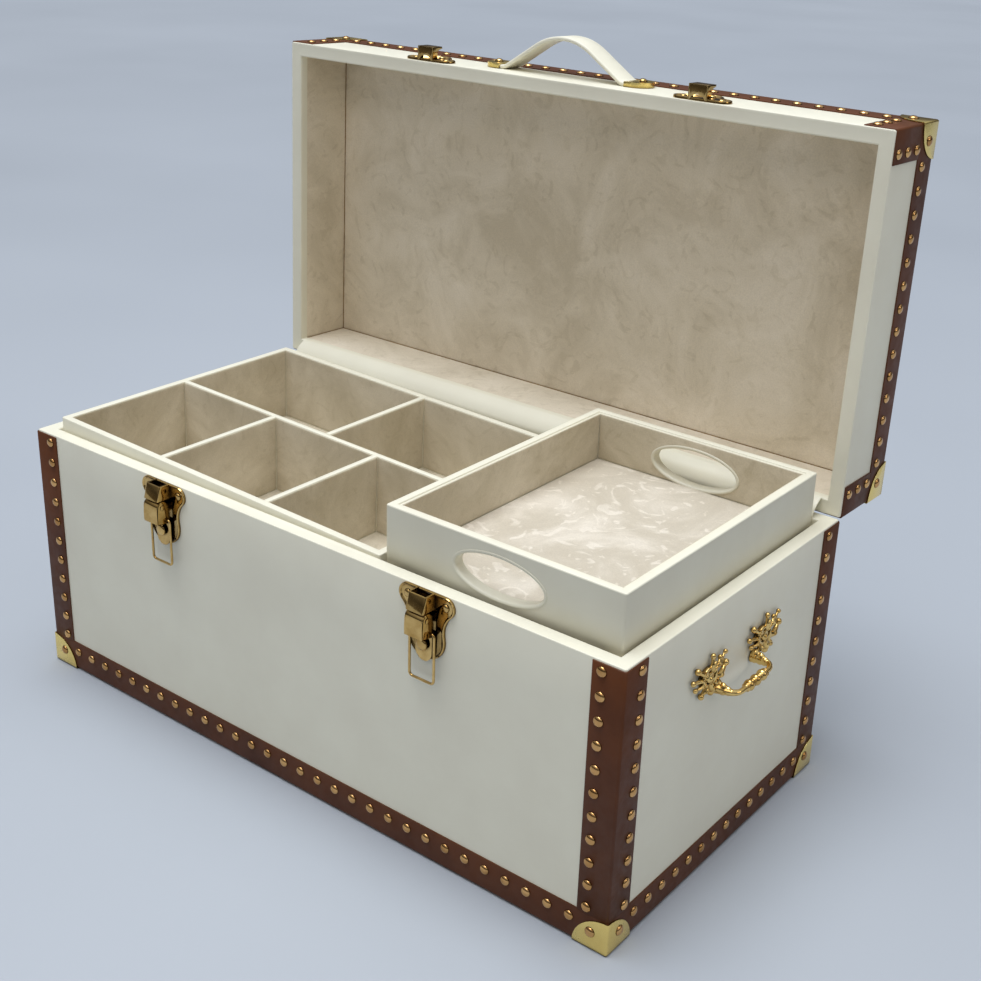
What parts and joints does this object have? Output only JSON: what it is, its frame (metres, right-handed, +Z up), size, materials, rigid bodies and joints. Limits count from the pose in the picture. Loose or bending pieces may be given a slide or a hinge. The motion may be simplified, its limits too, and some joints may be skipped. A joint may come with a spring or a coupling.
{
  "type": "leather trunk",
  "caption": "Rectangular white leather trunk with studded brown edges, brass corners, draw latches, lift-out tray and divided insert, lid open.",
  "frame": {"origin": "middle of the underside, where the trunk stands on the floor", "axes": "+Z up, -Y out of the front with the latches, +X to the right seen from the front"},
  "size_m": [0.644, 0.3956, 0.5516],
  "materials": {
    "brass": "polished brass",
    "brown_leather": "smooth dark brown leather",
    "felt": "dark felt",
    "ivory_leather": "ivory leather with white edges",
    "steel": "plain steel",
    "suede": "taupe suede lining",
    "white_leather": "smooth white leather",
    "wood": "plain unfinished board"
  },
  "bodies": {
    "base": {"base_front_panel": "wood", "base_back_panel": "wood", "base_left_panel": "wood", "base_right_panel": "wood", "base_bottom_panel": "wood", "base_leather_cover": "white_leather", "base_lining": "suede", "base_underside_felt": "felt", "base_corner_trims": "brown_leather", "base_bottom_trims": "brown_leather", "base_corner_caps": "brass", "base_trim_nails": "brass", "base_cap_nails": "brass", "hinge_base_leaves": "brass", "hinge_pins": "steel", "hinge_gusset": "white_leather", "well_partition": "suede", "insert_left_bearer": "suede", "insert_right_bearer": "suede", "tray_right_bearer": "suede", "latch_plate_left": "brass", "latch_plate_right": "brass", "latch_pins": "brass", "latch_rivets": "brass", "side_handle_right": "brass", "side_handle_left": "brass"},
    "lid": {"lid_front_panel": "wood", "lid_back_panel": "wood", "lid_left_panel": "wood", "lid_right_panel": "wood", "lid_top_panel": "wood", "lid_leather_cover": "white_leather", "lid_lining": "suede", "lid_corner_trims": "brown_leather", "lid_top_trims": "brown_leather", "lid_corner_caps": "brass", "lid_trim_nails": "brass", "lid_cap_nails": "brass", "hinge_lid_leaves": "brass", "catch_left": "brass", "catch_right": "brass", "catch_rivets": "brass", "strap_handle": "white_leather", "strap_end_plates": "brass", "strap_studs": "brass"},
    "tray": {"tray_front_wall": "ivory_leather", "tray_back_wall": "ivory_leather", "tray_end_walls": "ivory_leather", "tray_floor": "ivory_leather", "tray_lining": "ivory_leather"},
    "insert": {"insert_box": "ivory_leather", "insert_long_divider": "ivory_leather", "insert_front_dividers": "ivory_leather", "insert_back_dividers": "ivory_leather", "insert_cell_linings": "suede"},
    "lever_left": {"latch_lever_left": "brass"},
    "lever_right": {"latch_lever_right": "brass"},
    "bail_left": {"latch_bail_left": "brass"},
    "bail_right": {"latch_bail_right": "brass"}
  },
  "joints": [
    {"name": "lid_hinge", "type": "hinge", "parent": "base", "child": "lid", "pos_m": [0, 0.1484, 0.2235], "axis": [-1, 0, 0], "range_deg": [-91.6, 0], "deforming": ["hinge_gusset"]},
    {"name": "tray_lift", "type": "slide", "parent": "base", "child": "tray", "axis": [0, 0, 1], "range_m": [0, 0.15]},
    {"name": "insert_lift", "type": "slide", "parent": "base", "child": "insert", "axis": [0, 0, 1], "range_m": [0, 0.15]},
    {"name": "latch_lever_left", "type": "hinge", "parent": "base", "child": "lever_left", "pos_m": [-0.1367, -0.1579, 0.205], "axis": [-1, 0, 0], "range_deg": [0, 90]},
    {"name": "latch_bail_left", "type": "hinge", "parent": "lever_left", "child": "bail_left", "pos_m": [-0.1367, -0.1538, 0.1933], "axis": [1, 0, 0], "range_deg": [-178, 4]},
    {"name": "latch_lever_right", "type": "hinge", "parent": "base", "child": "lever_right", "pos_m": [0.1367, -0.1579, 0.205], "axis": [-1, 0, 0], "range_deg": [0, 90]},
    {"name": "latch_bail_right", "type": "hinge", "parent": "lever_right", "child": "bail_right", "pos_m": [0.1367, -0.1538, 0.1933], "axis": [1, 0, 0], "range_deg": [-178, 4]}
  ]
}
